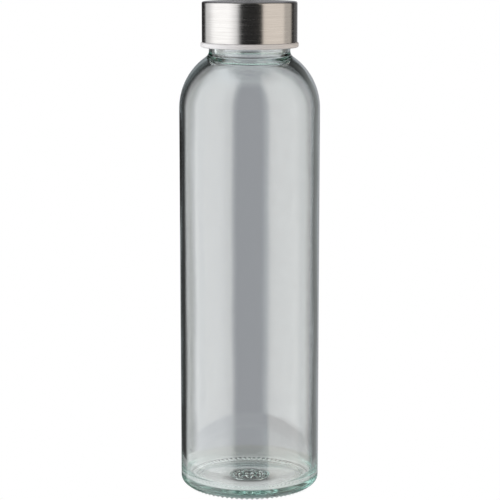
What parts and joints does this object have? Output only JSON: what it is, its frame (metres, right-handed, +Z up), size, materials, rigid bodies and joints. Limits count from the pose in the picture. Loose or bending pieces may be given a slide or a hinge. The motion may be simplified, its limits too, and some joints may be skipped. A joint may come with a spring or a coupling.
{
  "type": "glass water bottle",
  "caption": "Clear glass water bottle with a rounded shoulder and a straight threaded neck, closed by a brushed steel screw cap with a plastic liner and silicone seal.",
  "frame": {"origin": "centre of the base where the bottle stands", "axes": "+Z up the bottle's axis; -Y is the front"},
  "size_m": [0.064, 0.064, 0.224],
  "materials": {
    "clear_glass": "clear, green in its thick parts",
    "silicone": "soft matte",
    "liner_plastic": "smooth, slightly translucent",
    "brushed_steel": "brushed around its axis"
  },
  "bodies": {
    "bottle": {"glass_bottle": "clear_glass"},
    "seal": {"seal_ring": "silicone"},
    "cap": {"cap_liner": "liner_plastic", "cap_shell": "brushed_steel"}
  },
  "joints": [
    {"name": "cap_lift", "type": "slide", "parent": "bottle", "child": "seal", "axis": [0, 0, 1], "range_m": [0, 0.0202]},
    {"name": "cap_turn", "type": "hinge", "parent": "seal", "child": "cap", "pos_m": [0, 0, 0.2], "axis": [0, 0, 1], "range_deg": [0, 1710]}
  ],
  "couplings": [
    {"joint": "cap_lift", "follows": "cap_turn", "m_per_rad": 0.00067322}
  ]
}
